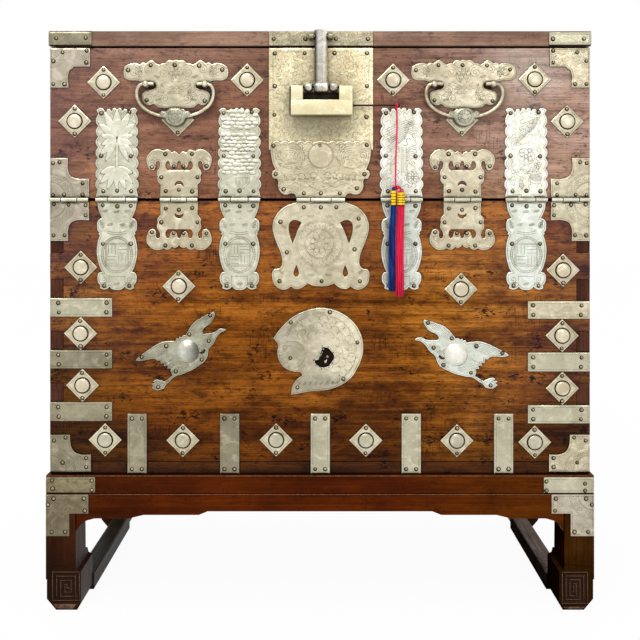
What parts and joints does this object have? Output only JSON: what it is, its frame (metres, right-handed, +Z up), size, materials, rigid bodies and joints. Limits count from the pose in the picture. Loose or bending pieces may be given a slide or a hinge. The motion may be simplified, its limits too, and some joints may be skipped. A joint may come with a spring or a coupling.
{
  "type": "drop-front chest on stand",
  "caption": "Wooden drop-front chest on a low stand, with a hinged upper flap, pierced pale metal hinges, a hasp with a sliding padlock and bail handles",
  "frame": {"origin": "bottom centre of the bounding box, on the floor under the stand's feet", "axes": "X runs to the right seen from the front, the front with the flap faces -Y, Z is up"},
  "size_m": [0.9006, 0.4778, 0.9509],
  "materials": {
    "top_wood": "worn dark lacquer",
    "flap_wood": "rosy brown lacquer",
    "panel_wood": "orange-brown lacquer",
    "side_wood": "dark lacquer",
    "stand_wood": "dark brown lacquer",
    "white_brass": "rubbed pale metal",
    "iron": "dark wrought",
    "red_silk": "twisted cord",
    "blue_silk": "loose fringe"
  },
  "bodies": {
    "carcass": {"top_board": "top_wood", "bottom_board": "side_wood", "back_board": "side_wood", "left_side_board": "side_wood", "right_side_board": "side_wood", "lower_front_panel": "panel_wood", "stand_top_frame": "stand_wood", "front_apron": "stand_wood", "back_apron": "stand_wood", "left_apron": "stand_wood", "right_apron": "stand_wood", "front_left_leg": "stand_wood", "front_right_leg": "stand_wood", "back_left_leg": "stand_wood", "back_right_leg": "stand_wood", "left_runner": "stand_wood", "right_runner": "stand_wood", "long_hinge_1_lower_leaf": "white_brass", "long_hinge_2_lower_leaf": "white_brass", "long_hinge_3_lower_leaf": "white_brass", "long_hinge_4_lower_leaf": "white_brass", "fret_hinge_1_lower_leaf": "white_brass", "fret_hinge_2_lower_leaf": "white_brass", "centre_hinge_lower_leaf": "white_brass", "corner_hinge_left_lower_leaf": "white_brass", "corner_hinge_right_lower_leaf": "white_brass", "base_corner_left": "white_brass", "base_corner_right": "white_brass", "leg_corner_left": "white_brass", "leg_corner_right": "white_brass", "bird_plate_left": "white_brass", "bird_plate_right": "white_brass", "tortoise_plate": "white_brass", "hasp_top_plate": "white_brass"},
    "flap": {"flap_board": "flap_wood", "long_hinge_1_upper_leaf": "white_brass", "long_hinge_2_upper_leaf": "white_brass", "long_hinge_3_upper_leaf": "white_brass", "long_hinge_4_upper_leaf": "white_brass", "fret_hinge_1_upper_leaf": "white_brass", "fret_hinge_2_upper_leaf": "white_brass", "centre_hinge_upper_leaf": "white_brass", "corner_hinge_left_upper_leaf": "white_brass", "corner_hinge_right_upper_leaf": "white_brass", "flap_corner_left": "white_brass", "flap_corner_right": "white_brass", "handle_plate_left": "white_brass", "handle_plate_right": "white_brass", "lock_plate": "white_brass", "lock_staple_left": "white_brass", "lock_staple_right": "white_brass", "padlock_shackle": "white_brass"},
    "hasp": {"hasp_bar": "white_brass"},
    "padlock_slider": {"padlock_case": "white_brass"},
    "key": {"padlock_key": "iron"},
    "tassel": {"tassel_cord": "red_silk", "tassel_blue": "blue_silk", "tassel_red": "red_silk"},
    "bail_left": {"handle_bail_left": "white_brass"},
    "bail_right": {"handle_bail_right": "white_brass"}
  },
  "joints": [
    {"name": "flap_hinge", "type": "hinge", "parent": "carcass", "child": "flap", "pos_m": [0, -0.21115, 0.67321], "axis": [1, 0, 0], "range_deg": [0, 135]},
    {"name": "hasp_pivot", "type": "hinge", "parent": "flap", "child": "hasp", "pos_m": [0.00165, -0.22745, 0.85614], "axis": [1, 0, 0], "range_deg": [0, 135]},
    {"name": "padlock_slide", "type": "slide", "parent": "flap", "child": "padlock_slider", "axis": [1, 0, 0], "range_m": [0, 0.045]},
    {"name": "key_slide", "type": "slide", "parent": "padlock_slider", "child": "key", "axis": [1, 0, 0], "range_m": [0, 0.045]},
    {"name": "tassel_swing", "type": "hinge", "parent": "key", "child": "tassel", "pos_m": [0.1269, -0.22745, 0.82647], "axis": [1, 0, 0], "range_deg": [-135, 0]},
    {"name": "bail_left_swing", "type": "hinge", "parent": "flap", "child": "bail_left", "pos_m": [-0.23731, -0.21645, 0.86273], "axis": [-1, 0, 0], "range_deg": [0, 160]},
    {"name": "bail_right_swing", "type": "hinge", "parent": "flap", "child": "bail_right", "pos_m": [0.23649, -0.21645, 0.86273], "axis": [-1, 0, 0], "range_deg": [0, 160]}
  ],
  "couplings": [
    {"joint": "tassel_swing", "follows": "flap_hinge", "ratio": -1}
  ]
}
